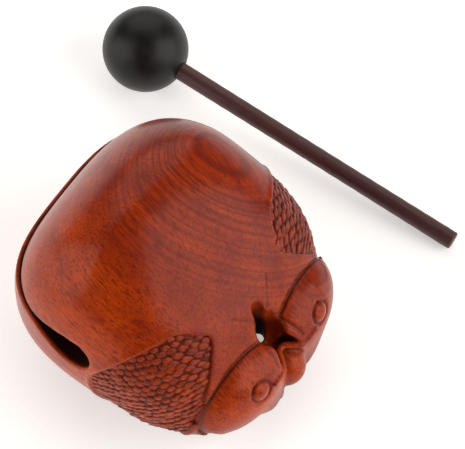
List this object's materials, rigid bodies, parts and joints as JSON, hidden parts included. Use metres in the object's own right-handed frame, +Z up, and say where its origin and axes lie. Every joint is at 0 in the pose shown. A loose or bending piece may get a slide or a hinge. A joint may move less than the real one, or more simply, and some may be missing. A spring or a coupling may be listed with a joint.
{
  "type": "mokugyo wooden fish",
  "caption": "Hollow carved wooden fish drum with a sound slit, side sound holes and fish heads meeting on a pearl at a finger hole, with a rubber-headed mallet beside it.",
  "frame": {"origin": "on the flat face the drum stands on, under the widest station of the drum and on its middle plane", "axes": "+Z up, slit mouth towards -Y, fish heads and finger hole towards +Y, mallet on the -X side"},
  "size_m": [0.1476, 0.1551, 0.0878],
  "materials": {
    "drum_wood": "lacquered red-brown hardwood, satin gloss",
    "stick_wood": "dark red-brown hardwood, satin",
    "head_rubber": "smooth black rubber, satin"
  },
  "bodies": {
    "drum": {"resonator_body": "drum_wood"},
    "mallet": {"mallet_stick": "stick_wood", "mallet_head": "head_rubber"}
  },
  "joints": [
    {"name": "mallet_lift", "type": "slide", "parent": "drum", "child": "mallet", "axis": [0, 0, 1], "range_m": [0, 0.12]}
  ]
}
